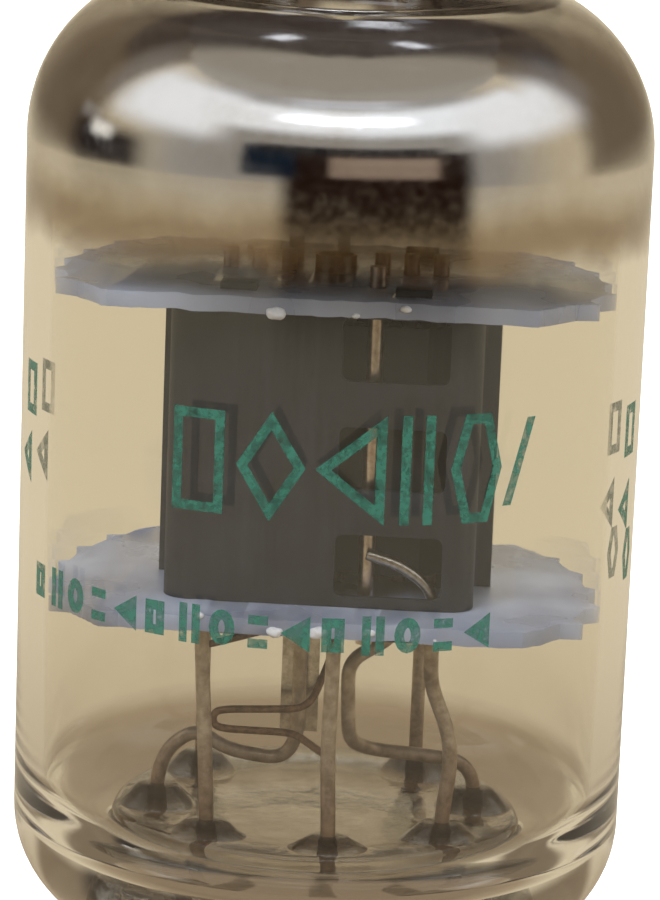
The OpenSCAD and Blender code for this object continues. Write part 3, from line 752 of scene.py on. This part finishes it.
def buildShield():
    front = buildShieldHalf()
    front.name = front.data.name = "front_shield_half"
    back = ownCopy(front, "back_shield_half")
    back.matrix_world = Matrix.Rotation(math.pi, 4, "Z")
    deselectAll()
    back.select_set(True)
    bpy.context.view_layer.objects.active = back
    bpy.ops.object.transform_apply(location=True, rotation=True, scale=True)
    finishPiece(front, shieldSheet, ["shield_front"], smooth=40)
    finishPiece(back, shieldSheet, ["shield_back"], smooth=40)


buildShield()

print("leads and other wires")


def smoothWire(node, name, material):
    # a copy of the design's wire, merged, made of quads and rounded
    piece = ownCopy(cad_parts[node], name)
    piece.parent = None
    piece.hide_render = False
    startEdit(piece)
    bpy.ops.mesh.select_all(action="SELECT")
    bpy.ops.mesh.remove_doubles(threshold=0.000002)
    bpy.ops.mesh.tris_convert_to_quads(face_threshold=math.radians(60), shape_threshold=math.radians(60))
    bpy.ops.object.mode_set(mode="OBJECT")
    applyModifier(piece, "BEVEL", width=0.03 * mm, segments=1, limit_method="ANGLE",
                  angle_limit=math.radians(70))
    applyModifier(piece, "SUBSURF", levels=2, render_levels=2)
    return finishPiece(piece, material, [node], smooth=60, fromMm=False)


for number in range(1, stem["pins"] + 1):
    smoothWire("lead_" + str(number), "inner_lead_" + str(number), leadWire)
smoothWire("heater_long_tail", "heater_tail_long", tailWire)
smoothWire("heater_short_tail", "heater_tail_short", tailWire)
smoothWire("anode_strap", "anode_tie", nickelStrip)
smoothWire("suppressor_link", "suppressor_tie", nickelStrip)

print("parts kept from the design")
keptFinishes = {
    "getter_ring": getterSteel, "getter_wire": nickelStrip, "anode": anodeSheet,
    "anode_rod_front": copperRod, "anode_rod_back": copperRod, "suppressor_rods": copperRod,
    "suppressor_wire": gridWire, "screen_rods": copperRod, "screen_wire": gridWire,
    "control_rods": copperRod, "control_wire": gridWire, "cathode_sleeve": nickelStrip,
    "cathode_coating": oxideCoat, "cathode_tab": nickelStrip, "heater": aluminaCoat,
}
for node, finish in keptFinishes.items():
    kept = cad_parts[node]
    if kept.data.materials:
        for slotIndex in range(len(kept.material_slots)):
            kept.material_slots[slotIndex].material = finish
    else:
        kept.data.materials.append(finish)

print("print on the bulb")
stamp = {"stroke": 0.27, "thick": 0.006, "tallMid": 15.4, "tall": 3.0, "turn": 3.4,
         "smallMid": 10.85, "smallFrom": -9.9, "smallTo": 4.6, "smallStep": 1.02}


def outlineMark(sides, wide, tall, across, up, turn=0.0):
    # a closed outline stroke of so many sides, laid flat: X runs round the bulb, Y up it
    deselectAll()
    bpy.ops.mesh.primitive_circle_add(vertices=sides, radius=1, fill_type="NGON", location=(0, 0, 0),
                                      rotation=(0, 0, math.radians(turn)))
    mark = bpy.context.active_object
    bpy.ops.object.transform_apply(location=True, rotation=True, scale=True)
    xs = [v.co.x for v in mark.data.vertices]
    ys = [v.co.y for v in mark.data.vertices]
    for vertex in mark.data.vertices:
        vertex.co.x = (vertex.co.x - (max(xs) + min(xs)) / 2) * wide / (max(xs) - min(xs)) + across
        vertex.co.y = (vertex.co.y - (max(ys) + min(ys)) / 2) * tall / (max(ys) - min(ys)) + up
    startEdit(mark, "FACE")
    bpy.ops.mesh.select_all(action="SELECT")
    bpy.ops.mesh.inset(thickness=stamp["stroke"], use_boundary=True)
    bpy.ops.mesh.delete(type="FACE")
    bpy.ops.object.mode_set(mode="OBJECT")
    return mark


def barMark(wide, tall, across, up, lean=0.0):
    deselectAll()
    bpy.ops.mesh.primitive_plane_add(size=1, location=(0, 0, 0))
    mark = bpy.context.active_object
    for vertex in mark.data.vertices:
        x, y = vertex.co.x * wide, vertex.co.y * tall
        vertex.co.x, vertex.co.y = x + lean * y + across, y + up
    return mark


def buildPrint():
    up, tall, stroke = stamp["tallMid"], stamp["tall"], stamp["stroke"]
    marks = []
    # the tall row: plain shapes only
    marks.append(outlineMark(4, 1.5, tall * 0.94, -3.6, up, 45))
    marks.append(outlineMark(4, 1.9, tall, -1.55, up))
    marks.append(outlineMark(3, 1.9, tall, 0.6, up, 90))
    marks.append(barMark(stroke, tall, 2.1, up))
    marks.append(barMark(stroke, tall, 2.75, up))
    marks.append(outlineMark(6, 1.55, tall, 4.15, up, 90))
    marks.append(barMark(stroke, tall * 0.8, 5.5, up + 0.1, 0.3))
    # the small row: a band of ticks, squares and rings that runs round from the left
    place, number = stamp["smallFrom"], 0
    while place < stamp["smallTo"]:
        kind = number % 5
        if kind == 0:
            marks.append(outlineMark(4, 0.62, 0.95, place, stamp["smallMid"], 45))
        elif kind == 1:
            marks.append(barMark(0.24, 1.1, place - 0.12, stamp["smallMid"]))
            marks.append(barMark(0.24, 1.1, place + 0.26, stamp["smallMid"]))
        elif kind == 2:
            marks.append(outlineMark(16, 0.74, 1.0, place, stamp["smallMid"]))
        elif kind == 3:
            marks.append(barMark(0.55, 0.26, place, stamp["smallMid"] - 0.35))
            marks.append(barMark(0.55, 0.26, place, stamp["smallMid"] + 0.3))
        else:
            marks.append(outlineMark(3, 0.8, 1.0, place, stamp["smallMid"], 90))
        place += stamp["smallStep"]
        number += 1
    # marks at the sides
    sideMarks = ((-11.0, 16.2, 4), (-11.4, 14.2, 3), (11.2, 15.6, 4), (11.6, 11.9, 6), (10.9, 13.4, 3))
    for across, height, sides in sideMarks:
        marks.append(outlineMark(sides, 0.95, 1.5, across, height, 45 if sides == 4 else 90))
    inkwork = joinPieces(marks[0], marks[1:])
    inkwork.name = inkwork.data.name = "green_print"
    startEdit(inkwork, "FACE")
    bpy.ops.mesh.select_all(action="SELECT")
    bpy.ops.mesh.quads_convert_to_tris()
    bpy.ops.mesh.subdivide(number_cuts=3)
    bpy.ops.object.mode_set(mode="OBJECT")
    applyModifier(inkwork, "SOLIDIFY", thickness=stamp["thick"], offset=0)
    # rolled round the glass
    for vertex in inkwork.data.vertices:
        radius = bulbRadius - stamp["thick"] / 2 - 0.0005 + vertex.co.z
        angle = vertex.co.x / bulbRadius + math.radians(stamp["turn"])
        vertex.co = Vector((radius * math.sin(angle), -radius * math.cos(angle), vertex.co.y))
    startEdit(inkwork, "FACE")
    bpy.ops.mesh.select_all(action="SELECT")
    bpy.ops.mesh.normals_make_consistent(inside=False)
    bpy.ops.object.mode_set(mode="OBJECT")
    return finishPiece(inkwork, greenInk, smooth=30)


buildPrint()

print("stage, lights and camera")
studio = {"floorSize": 3.0, "roomRadius": 0.7, "turn": 3.4, "cardMid": 20}


def glowMaterial(name, colour, strength, soft=None):
    # soft gives the faded share of a card's width and height; such a card is for reflections only
    material, tree = newMaterial(name)
    glow = addNode(tree, "ShaderNodeEmission",
                   {"Color": linearColour(colour), "Strength": strength}).outputs[0]
    if soft:
        # light that has met a shiny surface sees the card, light that came straight through the glass doesn't
        rays = addNode(tree, "ShaderNodeLightPath")
        shown = math2(tree, "GREATER_THAN", rays.outputs["Glossy Depth"], 0.5)
        spot = addNode(tree, "ShaderNodeUVMap", {"uv_map": "UVMap"}).outputs[0]
        across = addNode(tree, "ShaderNodeSeparateXYZ", None, {0: spot})
        for side, fade in enumerate(soft):
            fromMiddle = math2(tree, "SUBTRACT", across.outputs[side], 0.5)
            inward = math2(tree, "SUBTRACT", 0.5, math2(tree, "ABSOLUTE", fromMiddle, 0))
            settings = {"interpolation_type": "SMOOTHSTEP", 1: 0.0, 2: max(fade, 0.001), 3: 0.0, 4: 1.0}
            edge = addNode(tree, "ShaderNodeMapRange", settings, {0: inward}).outputs[0]
            shown = math2(tree, "MULTIPLY", shown, edge)
        clear = addNode(tree, "ShaderNodeBsdfTransparent")
        glow = addNode(tree, "ShaderNodeMixShader", None, {0: shown, 1: clear.outputs[0], 2: glow}).outputs[0]
    output(tree, glow)
    return material


def onlySeenBy(obj, camera=False, diffuse=False, glossy=False, transmission=False, shadow=False):
    obj.visible_camera = camera
    obj.visible_diffuse = diffuse
    obj.visible_glossy = glossy
    obj.visible_transmission = transmission
    obj.visible_shadow = shadow
    obj.visible_volume_scatter = False


def buildFloor():
    deselectAll()
    bpy.ops.mesh.primitive_plane_add(size=studio["floorSize"], location=(0, 0, cadBox[0].z))
    floor = bpy.context.active_object
    floor.name = "floor"
    material, tree = newMaterial("pale_floor")
    shader = addNode(tree, "ShaderNodeBsdfPrincipled",
                     {"Base Color": linearColour("#F2F1EF"), "Roughness": 0.9,
                      "Emission Color": linearColour("#FFFFFF"), "Emission Strength": 0.85})
    output(tree, shader.outputs[0])
    floor.data.materials.append(material)
    onlySeenBy(floor, camera=True, diffuse=True, glossy=False, transmission=False, shadow=True)


def buildRoom():
    # a warm room that only shows through the glass and in the mirror
    deselectAll()
    bpy.ops.mesh.primitive_uv_sphere_add(segments=48, ring_count=24, radius=studio["roomRadius"])
    room = bpy.context.active_object
    room.name = "warm_room"
    wall, tree = newMaterial("warm_wall")
    colour = ramp(tree, heightSpan(tree, -450, -150), [(0.0, "#86745F"), (0.5, "#A08D74"), (1.0, "#D9CBB0")])
    output(tree, addNode(tree, "ShaderNodeEmission", None, {"Color": colour}).outputs[0])
    room.data.materials.append(wall)
    onlySeenBy(room, glossy=True, transmission=True)


def cardPatch(name, azimuths, elevations, distance, colour, strength, soft=(0.1, 0.2)):
    # a piece of a sphere round the tube, seen only in reflections: azimuth 0 is at the front, 90 at the right
    deselectAll()
    bpy.ops.mesh.primitive_grid_add(x_subdivisions=24, y_subdivisions=12, size=1)
    card = bpy.context.active_object
    card.name = name
    for vertex in card.data.vertices:
        across = azimuths[0] + (vertex.co.x + 0.5) * (azimuths[1] - azimuths[0])
        azimuth = math.radians(studio["turn"] + across)
        elevation = math.radians(elevations[0] + (vertex.co.y + 0.5) * (elevations[1] - elevations[0]))
        flat = math.cos(elevation)
        way = Vector((math.sin(azimuth) * flat, -math.cos(azimuth) * flat, math.sin(elevation)))
        vertex.co = way * distance + Vector((0, 0, studio["cardMid"] * mm))
    card.data.materials.append(glowMaterial(name + "_glow", colour, strength, soft))
    onlySeenBy(card, glossy=True, transmission=True)
    return card


def softLight(name, place, size, watts, colour="#FFFFFF"):
    light = bpy.data.lights.new(name, "AREA")
    light.shape, light.size, light.energy = "SQUARE", size, watts
    light.color = linearColour(colour)[:3]
    lamp = bpy.data.objects.new(name, light)
    lamp.location = place
    lamp.rotation_euler = (Vector((0, 0, 14 * mm)) - Vector(place)).to_track_quat("-Z", "Y").to_euler()
    lamp.visible_glossy = False
    lamp.visible_camera = False
    lamp.visible_transmission = False
    bpy.context.collection.objects.link(lamp)


def buildStage():
    buildFloor()
    buildRoom()
    cardPatch("grey_surround", (-100, 100), (-9, 60), 0.62, "#A5A19D", 1.0, (0.22, 0.1))
    cardPatch("window_middle", (-90, 98), (26, 52), 0.5, "#E9EEF8", 1.5, (0.06, 0.3))
    cardPatch("window_left", (-112, -40), (14, 56), 0.49, "#F4F7FF", 1.25, (0.25, 0.3))
    cardPatch("window_right", (44, 122), (14, 52), 0.49, "#F4F7FF", 1.25, (0.25, 0.35))
    cardPatch("bead_glint", (-34, 38), (36, 44), 0.47, "#E6EEFF", 6.0, (0.35, 0.35))
    cardPatch("right_brown", (100, 172), (-6, 66), 0.6, "#8C7B66", 0.7, (0.2, 0.12))
    cardPatch("left_brown", (-172, -100), (-6, 66), 0.6, "#8C7B66", 0.7, (0.2, 0.12))
    cardPatch("ceiling", (-180, 180), (54, 90), 0.55, "#A8A196", 1.0, (0.0, 0.0))
    cardPatch("far_dark", (112, 248), (32, 89), 0.45, "#463D3A", 1.0, (0.2, 0.12))
    cardPatch("far_glint_low", (166, 180), (50, 56), 0.44, "#DDE3F2", 1.3, (0.3, 0.3))
    cardPatch("far_glint_left", (196, 212), (62, 69), 0.44, "#DDE3F2", 1.6, (0.3, 0.3))
    cardPatch("far_glint_right", (140, 160), (64, 70), 0.44, "#DDE3F2", 1.6, (0.3, 0.3))
    cardPatch("dark_hand", (-26, 56), (-11, 19), 0.4, "#3A241B", 0.4, (0.12, 0.12))
    cardPatch("hand_top", (-38, 46), (15, 22), 0.385, "#15181F", 0.5, (0.15, 0.3))
    cardPatch("navy_sleeve", (-40, -14), (-2, 22), 0.39, "#15263A", 0.7, (0.2, 0.2))
    cardPatch("hand_light", (-6, 40), (0, 16), 0.38, "#9A887A", 1.1, (0.1, 0.2))
    cardPatch("left_dark", (-128, -72), (-9, 18), 0.4, "#2A2226", 0.6, (0.3, 0.35))
    cardPatch("left_glint", (-112, -94), (6, 16), 0.38, "#FFFFFF", 1.3, (0.35, 0.45))
    softLight("key_light", (-0.25, -0.35, 0.35), 0.35, 2.6, "#DCE8FF")
    softLight("fill_light", (0.4, -0.2, 0.15), 0.35, 1.1, "#EAF1FF")
    softLight("back_light", (0.1, 0.4, 0.35), 0.35, 2.0)
    world = bpy.data.worlds.new("pale_studio")
    bpy.context.scene.world = world
    world.use_nodes = True
    tree = world.node_tree
    tree.nodes.clear()
    sky = addNode(tree, "ShaderNodeBackground", {"Color": linearColour("#EAF0FF"), "Strength": 0.5})
    addNode(tree, "ShaderNodeOutputWorld", None, {"Surface": sky.outputs[0]})
    scene = bpy.context.scene
    scene.view_settings.view_transform = "Standard"
    scene.view_settings.look = "None"
    # the thick foot of the glass bends light many times before it lets it out
    scene.cycles.max_bounces = scene.cycles.glossy_bounces = scene.cycles.transmission_bounces = 32


def buildCamera():
    shot = {"lens": 136.6, "distance": 100, "azimuth": studio["turn"], "elevation": 11.9, "roll": 2.2,
            "aim": (0.03, 0, 14.05)}
    camera = bpy.data.cameras.new("camera")
    camera.lens = shot["lens"]
    camera.sensor_width = 36
    camera.clip_start, camera.clip_end = 0.005, 10
    seat = bpy.data.objects.new("camera", camera)
    bpy.context.collection.objects.link(seat)
    a, e = math.radians(shot["azimuth"]), math.radians(shot["elevation"])
    back = Vector((math.sin(a) * math.cos(e), -math.cos(a) * math.cos(e), math.sin(e)))
    aim = Vector(shot["aim"])
    seat.location = (aim + back * shot["distance"]) * mm
    turn = (-back).to_track_quat("-Z", "Y").to_matrix().to_4x4()
    turn = turn @ Matrix.Rotation(math.radians(shot["roll"]), 4, "Z")
    seat.rotation_euler = turn.to_euler()
    bpy.context.scene.camera = seat


buildStage()
buildCamera()

print("done")
